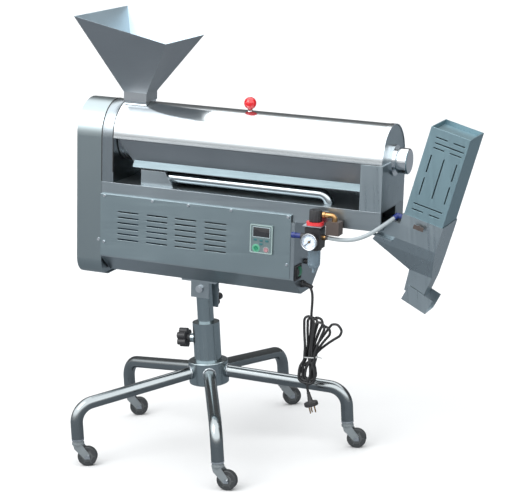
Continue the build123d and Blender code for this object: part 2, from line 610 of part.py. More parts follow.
def make_air_set():
    x, y = REG_X, REG_Y
    body = block((x - 21, x + 21), (y - 20, y + 20), (176, 226))
    body = fillet(body.edges().filter_by(Axis.Z), 5)
    body += rod_z(20, x, y, (225, 230)) + rod_z(14, x, y, (229, 240))
    bracket = block((x - 24, x + 24), (y - 24, -HOOD_R), (230.2, 232.6)) - rod_z(14.4, x, y, (228, 236))
    bracket += block((x - 24, x + 24), (-HOOD_R - 2.4, -HOOD_R), (230.2, 262))
    ring = rod_z(21.5, x, y, (232.8, 240)) - rod_z(14.4, x, y, (230, 242))
    stem = rod_y(5, x, (y - 27, y - 19.5), DIAL_Z)
    save("regulator_body", [body + stem, bracket, ring], BODY)

    knob = rod_z(15.5, x, y, (241, 270))
    for i in range(12):
        angle = radians(30 * i)
        knob -= rod_z(1.4, x + 15.8 * cos(angle), y + 15.8 * sin(angle), (243, 272))
    knob += rod_z(9, x, y, (240.2, 242))
    save("regulator_knob", knob, BODY)

    dome = Sphere(BOWL_R) & block((-20, 20), (-20, 20), (-20, 1))
    bowl = rod_z(BOWL_R, x, y, (BOWL_FLOOR, 175.8)) + Pos(x, y, BOWL_FLOOR) * dome
    bowl += rod_z(4, x, y, (112, 124))
    save("filter_bowl", bowl - rod_z(BOWL_R - 2, x, y, (BOWL_FLOOR, 173)), BODY)

    dial_y = (y - 44, y - 27)
    gauge = rod_y(21, x, dial_y, DIAL_Z) - rod_y(18.5, x, (dial_y[0] - 1, dial_y[0] + 6), DIAL_Z)
    gauge += rod_y(1.6, x, (dial_y[0] + 2.5, dial_y[0] + 8), DIAL_Z)
    save("pressure_gauge", gauge, BODY)
    pointer = rod_y(3.2, x, (dial_y[0] + 3, dial_y[0] + 4.6), DIAL_Z)
    pointer += block((x - 0.8, x + 0.8), (dial_y[0] + 3, dial_y[0] + 4.2), (DIAL_Z - 7, DIAL_Z + 15))
    pointer -= rod_y(1.6 + FIT, x, (dial_y[0], dial_y[0] + 8), DIAL_Z)
    at_zero = Pos(x, 0, DIAL_Z) * Rot(0, -NEEDLE_ZERO, 0) * Pos(-x, 0, -DIAL_Z)
    save("gauge_needle", at_zero * pointer, BODY)

    inlet = rod_x(8, (x - 36, x - 21), y, PORT_Z) + rod_x(6.5, (x - 52, x - 36), y, PORT_Z)
    inlet += rod_x(7.5, (x - 60, x - 50), y, PORT_Z)
    inlet -= rod_x(AIR_BORE_R, (x - 61, x - 46), y, PORT_Z)
    outlet = rod_x(7, (x + 21, x + 29), y, HOSE_START_Z) + rod_x(5.5, (x + 28, HOSE_START_X), y, HOSE_START_Z)
    valve = block((374, 407), (-126, -94), (212, 245)) + block((384, 400), (-95, -HOOD_R), (228, 244))
    route = FilletPolyline((391, -110, 244), (391, -110, 258), (364, -110, 258), radius=8)
    elbow = tube_on(route, 6.5) + rod_x(8.5, (360.5, 367), -110, 258)
    towards_tower = (Vector(*HOSE_ROUTE[-1]) - Vector(*HOSE_ROUTE[-2])).normalized()
    arm_end = Vector(*HOSE_ROUTE[-1]) + towards_tower * 15
    arm = tube_on(Line(HOSE_ROUTE[-1], arm_end), 6.4)
    in_body = BODY.inverse() * SORTER
    nipple = in_body * rod_x(6.4, (-17, RECEIVER[0] - 0.1), -51.5, -5)
    fittings = [inlet, outlet, valve + elbow, arm + nipple]
    save("air_fittings", fittings, BODY)


# ---- Cords --------------------------------------------------------------------------

def cord_radii(points):
    """Fillet radius of each inner point: 0.45 of the shorter run over tan(half turn)."""
    radii = []
    for a, b, c in zip(points, points[1:], points[2:]):
        before, after = Vector(*b) - Vector(*a), Vector(*c) - Vector(*b)
        half_turn = radians(before.get_angle(after)) / 2
        radii.append(0.45 * min(before.length, after.length) / tan(half_turn))
    return radii


def cord_tube(name, points, r):
    radii = cord_radii(points)
    path = FilletPolyline(*points, radius=radii)
    tube = tube_on(path, r)
    print(name, "radii", [round(value, 1) for value in radii],
          "volume ratio", round(tube.volume / (pi * r * r * path.length), 4), "length", round(path.length, 1))
    return tube


def make_cords():
    save("air_hose", cord_tube("air_hose", HOSE_ROUTE, HOSE_R), BODY)
    lead = cord_tube("power_cord lead", LEAD_ROUTE, CORD_D / 2)
    tail = cord_tube("power_cord tail", TAIL_ROUTE, CORD_D / 2)
    save("power_cord", [lead, tail])

    hank = [(286, 375), (312, 374), (352, 352), (372, 350), (391, 340), (387, 318), (352, 296), (318, 270),
            (317, 222), (308, 195), (293, 186), (281, 187), (266, 206), (264, 228), (280, 262), (282, 330)]
    save("cord_hank", sheet_y(hank, (-43, -21)))

    plug = rod_z(6.5, 0, 0, (-24, 0)) + rod_z(18, 0, 0, (-35, -23))
    for x, y in ((-6, -5), (6, -5), (0, 7)):
        plug += rod_z(1.8, x, y, (-53, -34))
    whole = Pos(*PLUG_TOP) * Rot(0, PLUG_LEAN, 0) * plug
    save("power_plug", whole)


# ---- Sorter -------------------------------------------------------------------------

def make_sorter():
    tower = block((0, TOWER_W), (-TOWER_HALF, TOWER_HALF), (0, TOWER_H))
    tower -= block((SHEET, TOWER_W - SHEET), (-TOWER_HALF + SHEET, TOWER_HALF - SHEET), (-1, TOWER_H - 12))
    tower -= block((3, TOWER_W - 3), (-TOWER_HALF + 3, TOWER_HALF - 3), (TOWER_H - 10.5, TOWER_H + 1))
    across = [(19, 49, 212), (64, 93, 212), (20, 94, 198), (20, 48, 186), (63, 92, 186), (14, 89, 41),
              (14, 43, 26), (59, 86, 26)]
    for left, right, v in across:
        tower -= block((left, right), (-TOWER_HALF - 1, -TOWER_HALF + 3), (v - 1.3, v + 1.3))
    for u, low, high in [(21, 123, 167), (21, 64, 109), (54, 66, 167), (87, 122, 166), (87, 64, 108)]:
        tower -= block((u - 1.3, u + 1.3), (-TOWER_HALF - 1, -TOWER_HALF + 3), (low, high))
    save("sorter_tower", tower, SORTER)

    sections = [(-20, -24, 103, 61.4), (-57, -47, 102.5, 60.4), (-84, -59, 104, 52), (-130, 47, 107, 31),
                (-184, 50, 100, 31)]

    def chute_solid(inset, grow):
        solid = None
        for i, (a, b) in enumerate(zip(sections, sections[1:])):
            faces = []
            for end, (v, left, right, half) in enumerate((a, b)):
                lift = grow if (i == 0 and end == 0) else 0
                lift = -grow if (i == len(sections) - 2 and end == 1) else lift
                centre = Pos((left + right) / 2, 0, v + lift)
                faces.append((centre * Rectangle(right - left - 2 * inset, 2 * (half - inset))).face())
            piece = loft(faces, ruled=True)
            solid = piece if solid is None else solid + piece
        return solid

    chute = chute_solid(0, 0) - chute_solid(SHEET, 1)
    receiver = block(RECEIVER, (-61.4, 61.4), (-20.5, 7))
    gap = TOWER_HALF + 0.5
    receiver -= block((-0.5, TOWER_W + 0.5), (-gap, gap), (-0.3, 8))
    receiver -= block((RECEIVER[0] + SHEET, TOWER_W - SHEET), (-57, 57), (-21, 0))
    roof = block((-24, 0), (-61.4, 61.4), (-21.5, -20)) - block((-30, -8), (-50, 50), (-22, -19))
    chute += receiver + roof
    chute += block((-60, -7), (-72, -55), (-68, -66)) - chute_solid(SHEET, 1)
    in_sorter = SORTER.inverse() * BODY
    chute -= in_sorter * block((420, BEAM_RIGHT + 0.6), (-100, 100), (BEAM_BOTTOM - 0.6, 300))
    slide = block((-4, 66), (-36, 36), (0, 40)) - block((-6, 67), (-34.5, 34.5), (SHEET, 41))
    slide += block((-4, -2.5), (-36, 36), (0, 40))
    placed = in_sorter * Pos(548, 0, 50.5) * Rot(0, 26.5, 0) * slide
    spout = block((50 + SHEET, 100 - SHEET), (-31 + SHEET, 31 - SHEET), (-230, -170))
    save("sorter_chute", chute + (placed - spout), SORTER)

    wing = rod_y(3, 48, (-77, -TOWER_HALF - 0.6), -10)
    wing += rod_y(6, 48, (-74, -68), -10) + block((35, 61), (-76, -73), (-15, -5))
    save("sorter_screw", wing - block((0, 100), (-62.2, -50), (-30, 10)), SORTER)


def make_all():
    make_stand()
    make_casters()
    make_column()
    make_tilt_bracket()
    make_control_box()
    make_upper_frame()
    make_inlet_frame()
    make_trough()
    make_discharge_duct()
    make_bearings()
    make_drive_end()
    make_belt_drive()
    make_drum()
    make_suction()
    make_hood()
    make_hopper()
    make_controls()
    make_air_set()
    make_sorter()
    make_cords()


make_all()
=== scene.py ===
import json
import random
from math import cos, hypot, pi, radians, sin, tan

import bpy
from mathutils import Matrix, Vector


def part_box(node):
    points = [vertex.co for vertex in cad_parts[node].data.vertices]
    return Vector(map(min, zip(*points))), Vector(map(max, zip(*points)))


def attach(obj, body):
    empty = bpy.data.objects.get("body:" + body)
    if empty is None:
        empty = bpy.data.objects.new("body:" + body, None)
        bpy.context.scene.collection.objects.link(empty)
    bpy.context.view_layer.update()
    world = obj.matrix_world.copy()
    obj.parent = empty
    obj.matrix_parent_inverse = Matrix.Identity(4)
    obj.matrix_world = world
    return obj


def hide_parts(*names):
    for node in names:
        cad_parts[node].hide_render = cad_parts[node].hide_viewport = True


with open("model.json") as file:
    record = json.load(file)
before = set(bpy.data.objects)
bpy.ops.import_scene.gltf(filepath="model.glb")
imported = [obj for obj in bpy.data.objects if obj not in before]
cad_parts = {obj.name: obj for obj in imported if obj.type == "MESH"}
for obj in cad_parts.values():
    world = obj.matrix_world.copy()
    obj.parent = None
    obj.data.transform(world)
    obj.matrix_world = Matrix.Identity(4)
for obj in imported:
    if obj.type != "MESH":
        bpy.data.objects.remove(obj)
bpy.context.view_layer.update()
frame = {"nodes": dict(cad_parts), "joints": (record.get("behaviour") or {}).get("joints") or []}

random.seed(11)

# ---- Frames: STAND is upright under the column, BODY leans with the machine ----------

JOINTS = {joint["name"]: joint for joint in frame["joints"]}


def box_middle(node):
    low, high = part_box(node)
    return (low + high) / 2


COLUMN = box_middle("inner_column")
STAND = Matrix.Translation((COLUMN.x, COLUMN.y, 0))
BODY_X = Vector(JOINTS["brush_spin"]["axis"]).normalized()
BODY_Z = Vector(JOINTS["hopper_lift_off"]["axis"]).normalized()
BODY_Y = BODY_Z.cross(BODY_X)
AXIS_Z = 388.3      # height of the drum's axis in the body frame
BODY_AT = Vector(JOINTS["brush_spin"]["pos_m"]) - 0.1 * BODY_X - AXIS_Z / 1000 * BODY_Z
BODY = Matrix.Translation(BODY_AT) @ Matrix((BODY_X, BODY_Y, BODY_Z)).transposed().to_4x4()


def spot(where, x, y, z):
    """A point of a frame, given in millimetres, in the row frame."""
    return where @ Vector((x / 1000, y / 1000, z / 1000))


def aim(where, at, along):
    """A place whose +Z points along a direction of the frame."""
    turn = Vector(along).to_track_quat("Z", "Y").to_matrix().to_4x4()
    return where @ Matrix.Translation(Vector(at) / 1000) @ turn


# ---- Camera --------------------------------------------------------------------------

CAMERA_AZIMUTH = radians(23.26)
CAMERA_RISE = radians(12.06)
CAMERA_ROLL = radians(-2.9)
CAMERA_FAR = 4.53014
CAMERA_LOOK = STAND @ Vector((0.14606, 0, 0.52534))


def make_camera():
    a, e = CAMERA_AZIMUTH, CAMERA_RISE
    back = Vector((sin(a) * cos(e), -cos(a) * cos(e), sin(e)))
    right = Vector((cos(a), sin(a), 0))
    up = back.cross(right)
    x = right * cos(CAMERA_ROLL) + up * sin(CAMERA_ROLL)
    y = up * cos(CAMERA_ROLL) - right * sin(CAMERA_ROLL)
    data = bpy.data.cameras.new("camera")
    data.lens, data.sensor_width = 126.04, 36
    data.clip_start, data.clip_end = 0.1, 200
    camera = bpy.data.objects.new("camera", data)
    bpy.context.scene.collection.objects.link(camera)
    turn = Matrix((x, y, back)).transposed().to_4x4()
    camera.matrix_world = Matrix.Translation(CAMERA_LOOK + back * CAMERA_FAR) @ turn
    bpy.context.scene.camera = camera


make_camera()


# ---- Materials -----------------------------------------------------------------------

def shader(name):
    material = bpy.data.materials.new(name)
    material.use_nodes = True
    tree = material.node_tree
    principled = tree.nodes["Principled BSDF"]
    place = tree.nodes.new("ShaderNodeTexCoord")
    return material, tree, principled, place


def noise(tree, place, scale, detail=3.0, turn=(0, 0, 0), stretch=(1, 1, 1)):
    mapping = tree.nodes.new("ShaderNodeMapping")
    mapping.inputs["Rotation"].default_value = turn
    mapping.inputs["Scale"].default_value = stretch
    tree.links.new(place.outputs["Object"], mapping.inputs["Vector"])
    texture = tree.nodes.new("ShaderNodeTexNoise")
    texture.inputs["Scale"].default_value = scale
    texture.inputs["Detail"].default_value = detail
    tree.links.new(mapping.outputs["Vector"], texture.inputs["Vector"])
    return texture.outputs[0]


def spread(tree, value, low, high, to_low, to_high):
    node = tree.nodes.new("ShaderNodeMapRange")
    for name, number in (("From Min", low), ("From Max", high), ("To Min", to_low), ("To Max", to_high)):
        node.inputs[name].default_value = number
    tree.links.new(value, node.inputs["Value"])
    return node.outputs[0]


def shades(tree, value, colours, low=0.3, high=0.7):
    node = tree.nodes.new("ShaderNodeValToRGB")
    ramp = node.color_ramp
    ramp.elements[0].position, ramp.elements[1].position = low, high
    ramp.elements[0].color = (*colours[0], 1)
    ramp.elements[1].color = (*colours[1], 1)
    tree.links.new(value, node.inputs[0])
    return node.outputs[0]


def bump(tree, principled, value, strength, distance):
    node = tree.nodes.new("ShaderNodeBump")
    node.inputs["Strength"].default_value = strength
    node.inputs["Distance"].default_value = distance
    tree.links.new(value, node.inputs["Height"])
    tree.links.new(node.outputs["Normal"], principled.inputs["Normal"])


def toned(colour, change):
    return tuple(min(1.0, channel * change) for channel in colour)


def steel(name, colour, rough, grain=0.05, turn=(0, radians(-4.7), 0), stretch=(2, 260, 260),
          tint=0.05, relief=0.05):
    """Stainless or plated metal: drawn grain, slow stains and handling marks in the roughness."""
    material, tree, principled, place = shader(name)
    principled.inputs["Metallic"].default_value = 1.0
    lines = noise(tree, place, 1.0, 4.0, turn, stretch)
    marks = noise(tree, place, 9.0, 6.0)
    mixed = tree.nodes.new("ShaderNodeMath")
    mixed.operation = "ADD"
    tree.links.new(spread(tree, lines, 0.3, 0.7, rough - grain, rough + grain), mixed.inputs[0])
    tree.links.new(spread(tree, marks, 0.35, 0.75, 0.0, grain), mixed.inputs[1])
    tree.links.new(mixed.outputs[0], principled.inputs["Roughness"])
    stains = noise(tree, place, 5.0, 4.0)
    colours = (toned(colour, 1 - tint), toned(colour, 1 + tint))
    tree.links.new(shades(tree, stains, colours), principled.inputs["Base Color"])
    bump(tree, principled, lines, relief, 0.0004)
    return material


def plastic(name, colour, rough, speckle=240.0, tint=0.12, relief=0.15, coat=0.0):
    """Moulded plastic, rubber or paint: fine texture, dust and worn patches."""
    material, tree, principled, place = shader(name)
    fine = noise(tree, place, speckle, 3.0)
    dust = noise(tree, place, 22.0, 5.0)
    tree.links.new(spread(tree, dust, 0.3, 0.75, rough - 0.06, rough + 0.12), principled.inputs["Roughness"])
    colours = (toned(colour, 1 - tint), toned(colour, 1 + tint))
    tree.links.new(shades(tree, dust, colours), principled.inputs["Base Color"])
    principled.inputs["Coat Weight"].default_value = coat
    bump(tree, principled, fine, relief, 0.0003)
    return material


def clear(name, colour, rough, weight, ior=1.45):
    material, tree, principled, place = shader(name)
    smear = noise(tree, place, 60.0, 4.0)
    tree.links.new(spread(tree, smear, 0.3, 0.7, rough, rough + 0.12), principled.inputs["Roughness"])
    tree.links.new(shades(tree, smear, (toned(colour, 0.94), colour)), principled.inputs["Base Color"])
    principled.inputs["Transmission Weight"].default_value = weight
    principled.inputs["IOR"].default_value = ior
    return material


UPRIGHT = (0, 0, 0)
SMOOTH = {"stretch": (260, 260, 3), "tint": 0.015, "relief": 0.0}
M = {
    "satin": steel("steel_satin", (0.36, 0.405, 0.43), 0.34, 0.05),
    "cover": steel("steel_cover", (0.315, 0.385, 0.41), 0.36, 0.05),
    "drive": steel("steel_drive", (0.35, 0.405, 0.42), 0.3, 0.01, **SMOOTH),
    "hopper": steel("steel_hopper", (0.36, 0.38, 0.4), 0.4, 0.04, stretch=(2, 200, 200), relief=0.02),
    "tower": steel("steel_tower", (0.25, 0.36, 0.4), 0.46, 0.06, stretch=(200, 200, 2)),
    "chute": steel("steel_chute", (0.42, 0.48, 0.51), 0.3, 0.06, stretch=(200, 200, 2)),
    "polished": steel("steel_polished", (0.7, 0.74, 0.76), 0.14, 0.03, relief=0.02),
    "chrome": steel("steel_chrome", (0.78, 0.8, 0.82), 0.1, 0.03, relief=0.01),
    "pipe": steel("steel_pipe", (0.4, 0.44, 0.46), 0.12, 0.03, stretch=(3, 90, 90), relief=0.02),
    # a darker copy of the steel for the trough's upward front faces: painted shade
    "painted_shade_lip": steel("steel_painted_shade", (0.18, 0.23, 0.25), 0.42, 0.05),
    # a paler, bluer copy of the hopper steel for its upward inside faces: painted light
    "painted_light_inside": steel("hopper_inside_painted_light", (0.5, 0.6, 0.66), 0.55, 0.05, relief=0.02),
    "inlet": steel("steel_inlet", (0.34, 0.38, 0.405), 0.26, 0.01, **SMOOTH),
    "tube": steel("steel_tube", (0.29, 0.315, 0.325), 0.18, 0.05, UPRIGHT, (120, 120, 4), relief=0.02),
    "column": steel("steel_column", (0.36, 0.42, 0.44), 0.2, 0.05, UPRIGHT, (160, 160, 3), relief=0.02),
    "zinc": steel("zinc_plate", (0.6, 0.63, 0.66), 0.3, 0.07, UPRIGHT, (60, 60, 60), relief=0.06),
    "shaft": steel("shaft_steel", (0.55, 0.56, 0.57), 0.28, 0.05, stretch=(90, 4, 4)),
    "cast": steel("cast_aluminium", (0.66, 0.67, 0.68), 0.42, 0.06, UPRIGHT, (120, 120, 120), relief=0.2),
    "brass": steel("brass_machined", (0.42, 0.25, 0.11), 0.3, 0.06, UPRIGHT, (90, 90, 90)),
    "wheel": plastic("wheel_polyurethane", (0.03, 0.033, 0.035), 0.5),
    "hub": plastic("wheel_hub_grey", (0.06, 0.065, 0.067), 0.48),
    "black": plastic("black_moulded", (0.022, 0.022, 0.024), 0.42),
    "red": plastic("red_gloss", (0.55, 0.008, 0.014), 0.16, relief=0.03, coat=0.6),
    "ring": plastic("red_ring", (0.55, 0.03, 0.035), 0.35),
    "green": plastic("green_key", (0.008, 0.17, 0.085), 0.35),
    "teal": plastic("teal_key", (0.02, 0.1, 0.11), 0.4),
    "pink": plastic("pink_key", (0.3, 0.15, 0.17), 0.4),
    "panel": plastic("panel_grey", (0.09, 0.13, 0.135), 0.45),
    "overlay": plastic("panel_overlay", (0.3, 0.37, 0.39), 0.5),
    "display": plastic("display_dark", (0.018, 0.018, 0.02), 0.18, relief=0.02, coat=0.5),
    "blue": plastic("blue_collar", (0.008, 0.02, 0.13), 0.35),
    "hose": plastic("hose_polyurethane", (0.26, 0.295, 0.31), 0.28, relief=0.03),
    "rubber": plastic("belt_rubber", (0.02, 0.02, 0.02), 0.75),
    "cord": plastic("cord_jacket", (0.016, 0.016, 0.017), 0.5, relief=0.06),
    "nylon": plastic("nylon_white", (0.4, 0.41, 0.41), 0.45, relief=0.04),
    "bristle": plastic("bristle_nylon", (0.78, 0.78, 0.7), 0.6),
    "paint": plastic("motor_enamel", (0.05, 0.09, 0.15), 0.4),
    "coil": plastic("coil_housing", (0.06, 0.045, 0.04), 0.45),
    "dial": plastic("dial_face", (0.7, 0.78, 0.88), 0.4, relief=0.02, tint=0.03),
    "ink": plastic("dial_ink", (0.02, 0.04, 0.1), 0.5, relief=0.02),
    "fork": plastic("caster_casting", (0.15, 0.17, 0.18), 0.36, relief=0.08),
    "bezel": plastic("bezel_light", (0.22, 0.29, 0.285), 0.42),
    "mint": plastic("key_surround_green", (0.07, 0.27, 0.17), 0.42),
    "blush": plastic("key_surround_pink", (0.2, 0.2, 0.205), 0.42),
    "rocker": plastic("rocker_green", (0.008, 0.12, 0.06), 0.3),
    "bowl": clear("bowl_polycarbonate", (0.25, 0.33, 0.39), 0.16, 0.6),
    "glass": clear("gauge_glass", (0.95, 0.97, 0.98), 0.03, 1.0, 1.2),
}

CAD_LOOKS = {
    "satin": "control_box upper_frame drive_bulkhead tilt_bracket suction_box",
    "cover": "cover_plate",
    "drive": "drive_cover",
    "inlet": "inlet_frame",
    "tower": "sorter_tower",
    "chute": "sorter_chute discharge_duct hood_hinges",
    "polished": "hood",
    "chrome": "shaft_bearings",
    "pipe": "vacuum_pipe",
    "tube": "stand_legs",
    "column": "stand_post inner_column",
    "zinc": "caster_stems pivot_bolt panel_screws",
    "shaft": "brush_shaft screen_tube",
    "cast": "brush_pulley motor_pulley",
    "paint": "drive_motor",
    "rubber": "drive_belt",
    "coil": "sorter_screw",
    "black": "height_knob tilt_knob cord_gland gauge_needle",
    "bowl": "filter_bowl",
}


def dress():
    for look, nodes in CAD_LOOKS.items():
        for node in nodes.split():
            mesh = frame["nodes"][node].data
            mesh.materials.clear()
            mesh.materials.append(M[look])


dress()


# ---- Making pieces -------------------------------------------------------------------

def piece(name, data, look, body, place=None, replaces=()):
    item = bpy.data.objects.new(name, data)
    bpy.context.scene.collection.objects.link(item)
    data.materials.append(M[look])
    item.matrix_world = place if place is not None else Matrix.Identity(4)
    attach(item, body)
    if replaces:
        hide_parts(*replaces)
    return item


def mesh_of(name, points, faces, smooth=True):
    """A mesh from points in millimetres."""
    data = bpy.data.meshes.new(name)
    data.from_pydata([tuple(c / 1000 for c in p) for p in points], [], faces)
    data.polygons.foreach_set("use_smooth", [smooth] * len(data.polygons))
    data.update()
    return data


def soften(item, width, segments=2, angle=35):
    """Rounded edges that catch the light."""
    bevel = item.modifiers.new("bevel", "BEVEL")
    bevel.width, bevel.segments = width / 1000, segments
    bevel.limit_method, bevel.angle_limit = "ANGLE", radians(angle)
    bevel.harden_normals = False
    split = item.modifiers.new("split", "EDGE_SPLIT")
    split.split_angle = radians(40)
    return item


def lathe(profile, segments=40, closed=False):
    """Points and faces of a turned shape; the profile is (radius, height) pairs."""
    points, faces, rings = [], [], []
    for r, h in profile:
        if r < 1e-6:
            rings.append([len(points)])
            points.append((0, 0, h))
        else:
            rings.append(list(range(len(points), len(points) + segments)))
            points += [(r * cos(2 * pi * i / segments), r * sin(2 * pi * i / segments), h)
                       for i in range(segments)]
    pairs = list(zip(rings, rings[1:])) + ([(rings[-1], rings[0])] if closed else [])
    for a, b in pairs:
        for i in range(segments):
            j = (i + 1) % segments
            if len(a) == 1 and len(b) > 1:
                faces.append((a[0], b[j], b[i]))
            elif len(b) == 1 and len(a) > 1:
                faces.append((a[i], a[j], b[0]))
            elif len(a) > 1:
                faces.append((a[i], a[j], b[j], b[i]))
    return points, faces


def turned(name, profile, look, body, place, segments=40, closed=False, replaces=()):
    item = piece(name, mesh_of(name, *lathe(profile, segments, closed)), look, body, place, replaces)
    split = item.modifiers.new("split", "EDGE_SPLIT")
    split.split_angle = radians(38)
    return item


def prism(outline, low, high):
    """Points and faces of a closed (x, y) outline raised from low to high along z."""
    count = len(outline)
    points = [(x, y, low) for x, y in outline] + [(x, y, high) for x, y in outline]
    faces = [tuple(range(count))[::-1], tuple(range(count, 2 * count))]
    faces += [(i, (i + 1) % count, count + (i + 1) % count, count + i) for i in range(count)]
    return points, faces


def rounded(x, y, radius, steps=4):
    """A rectangle with rounded corners, from (low, high) pairs."""
    corners = [(x[1] - radius, y[1] - radius, 0), (x[0] + radius, y[1] - radius, 90),
               (x[0] + radius, y[0] + radius, 180), (x[1] - radius, y[0] + radius, 270)]
    turns = [90 * i / steps for i in range(steps + 1)]
    return [(cx + radius * cos(radians(start + turn)), cy + radius * sin(radians(start + turn)))
            for cx, cy, start in corners for turn in turns]


def inset(box, by):
    """A box of two (low, high) pairs, made smaller all round, or larger when by is negative."""
    return [(low + by, high - by) for low, high in box]


def plate(name, outline, low, high, look, body, place, edge=0.4, replaces=()):
    item = piece(name, mesh_of(name, *prism(outline, low, high)), look, body, place, replaces)
    return soften(item, edge)


def joined(parts):
    """Several (points, faces) shapes as one."""
    points, faces = [], []
    for more_points, more_faces in parts:
        start = len(points)
        points += more_points
        faces += [tuple(start + i for i in face) for face in more_faces]
    return points, faces


def moved(shape, place):
    """A shape in millimetres, moved by a place in metres."""
    points, faces = shape
    return [tuple(1000 * c for c in place @ (Vector(p) / 1000)) for p in points], faces


def cable(name, points, diameter, look, body, ring=12, replaces=()):
    """One open NURBS line through the row frame, with a round section."""
    data = bpy.data.curves.new(name, "CURVE")
    data.dimensions = "3D"
    spline = data.splines.new("NURBS")
    spline.points.add(len(points) - 1)
    for knot, at in zip(spline.points, points):
        knot.co = (*at, 1)
    spline.order_u = 3
    spline.use_endpoint_u = True
    spline.resolution_u = 6
    data.bevel_depth = diameter / 2
    data.bevel_resolution = ring // 4
    data.use_fill_caps = True
    return piece(name, data, look, body, None, replaces)


# ---- Places on the machine, in millimetres of the body frame unless a line says otherwise

FRONT = aim(BODY, (0, 0, 0), (0, -1, 0))     # outlines are (x, z); heights are toward the front
SIDE = aim(BODY, (0, 0, 0), (1, 0, 0))       # outlines are (y, z); heights are along x
HOOD_R = 88.0
SEAMS = (("drive_seam", -254.1, 275), ("hood_seam", -222.3, 300))     # name, x and foot height
HANDLE_X = 116.0
HOPPER_X = 1000 * (BODY.inverted() @ box_middle("feed_hopper")).x
HOPPER_CONE_Z = 492.0                        # just below the hopper's slopes
CONTROL = ((165, 226), (138, 212))           # the controller's x and z
DISPLAY = ((173, 218), (180, 205))
CONTROL_FACE = 98.5                          # height of the controller's face, toward the front
MENU_KEYS = ((180, 172.5), (195.5, 171.5), (211, 171.5), (195.5, 162.5))
PANEL_X = 282.0                              # outer face of the end panel
SWITCH = ((-82, -48), (79, 109))             # the power switch's y and z
ROCKER_X, ROCKER_Z, ROCKER_R = 270.5, 94.0, 19.0
ROCKER_THROWN = radians(6)
GLAND_Y, GLAND_Z = -33.0, 57.0
REG_X, REG_Y = 342.5, -114.0                 # the regulator's own axis
REG_RING = (232.7, 240.1)                    # heights of its red lock ring
BRACKET_Z, BRACKET_Y = 230.1, -91.0          # the bracket is above the first, its upright behind the second
DIAL_Z = 197.0
INLET_COLLAR_X, INLET_X = 303.0, 322.0       # where the inlet's collar and its nipple end
OUTLET_X, OUTLET_Z = 371.0, 208.0            # where the brass nipple ends, and its top
VALVE_TOP = 245.2
ELBOW_X, ELBOW_Y = 391.0, -110.0
TOWER_X = 500.0                              # fittings past this are the ones at the tower
BRISTLES = 2600
BRUSH_LEFT, BRUSH_LENGTH, BRUSH_PITCH = -190, 600, 105
HUB_R, LEG_TOP_Z = 52.5, 200.0               # where the legs meet the hub, in the stand's frame
LEG_ANGLES = (-135.6, -63.6, 8.4, 80.4, 152.4)
BOXY = ("control_box cover_plate end_panel upper_frame inlet_frame trough discharge_duct suction_box "
        "sorter_tower sorter_chute feed_hopper tilt_bracket").split()


# ---- Looks painted face by face on the CAD nodes, and softened folds --------------------

def paint(node, where, choose):
    """Gives each face of a CAD node the look chosen for its middle and its outward direction."""
    bpy.context.view_layer.update()
    item = frame["nodes"][node]
    item.data.materials.clear()
    looks = []
    local = where.inverted() @ item.matrix_world
    for face in item.data.polygons:
        look = choose(1000 * (local @ face.center), (local.to_3x3() @ face.normal).normalized())
        if look not in looks:
            looks.append(look)
            item.data.materials.append(M[look])
        face.material_index = looks.index(look)


def regulator_look(at, out):
    if REG_RING[0] < at.z < REG_RING[1] and hypot(at.x - REG_X, at.y - REG_Y) > 14.5:
        return "ring"
    return "zinc" if at.z > BRACKET_Z and (at.z < REG_RING[0] or at.y > BRACKET_Y) else "black"


def fitting_look(at, out):
    """The collar at the tower, the inlet, the outlet nipple, then the valve under its elbow."""
    if at.x > TOWER_X:
        return "blue"
    if at.x < INLET_X:
        return "blue" if at.x < INLET_COLLAR_X else "black"
    if at.z < OUTLET_Z:
        return "brass" if at.x < OUTLET_X else "coil"
    foot = at.z > VALVE_TOP - 2.2 and at.y < -100 and hypot(at.x - ELBOW_X, at.y - ELBOW_Y) < 7
    return "brass" if at.z > VALVE_TOP or foot else "coil"


def controller_look(at, out):
    (left, right), (low, high) = inset(DISPLAY, -1)
    return "display" if left < at.x < right and low < at.z < high and at.y > -98 else "panel"


def hopper_look(at, out):
    """Inside faces look toward the hopper's own axis; those above the cone that face up get a paler, bluer
    copy of the steel, painted light.
    """
    inward = (HOPPER_X - at.x) * out.x - at.y * out.y > 0
    return "painted_light_inside" if inward and at.z > HOPPER_CONE_Z and out.z > 0.05 else "hopper"


def trough_look(at, out):
    # Upward faces at the front get the darker steel copy: painted shade.
    return "painted_shade_lip" if out.z > 0.3 and at.y < -60 else "hopper"


def fork_look(at, out):
    """Measured from the axle, which is bright, heads and all."""
    return "chrome" if hypot(at.x, at.y) < 18 and abs(at.z) < 5.5 else "fork"


def fold(node, width):
    """Rounded bends in the folded sheet, so that its edges catch the light."""
    item = frame["nodes"][node]
    weld = item.modifiers.new("weld", "WELD")
    weld.merge_threshold = 0.00002
    soften(item, width, 2, 40)


def dress_small():
    paint("regulator_body", BODY, regulator_look)
    paint("air_fittings", BODY, fitting_look)
    paint("speed_controller", BODY, controller_look)
    paint("end_panel", BODY, lambda at, out: "black" if at.x > PANEL_X + 0.3 else "satin")
    paint("feed_hopper", BODY, hopper_look)
    paint("trough", BODY, trough_look)
    for i in range(1, 6):
        axle = Matrix.Translation(Vector(JOINTS[f"wheel_spin_{i}"]["pos_m"]))
        paint(f"caster_fork_{i}", axle, fork_look)
        paint(f"caster_wheel_{i}", axle, lambda at, out: "wheel")
    for node in BOXY:
        fold(node, 0.5)


dress_small()


# ---- Detailed pieces -----------------------------------------------------------------

def ring_shape(outer, inner, low, high):
    """Points and faces of a plate with a hole; both outlines have the same count."""
    count = len(outer)
    points = [(x, y, h) for h in (low, high) for ring in (outer, inner) for x, y in ring]
    faces = []
    for i in range(count):
        j = (i + 1) % count
        a, b, c, d = 0, count, 2 * count, 3 * count
        faces += [(a + i, a + j, c + j, c + i), (b + j, b + i, d + i, d + j),
                  (c + i, c + j, d + j, d + i), (a + j, a + i, b + i, b + j)]
    return points, faces


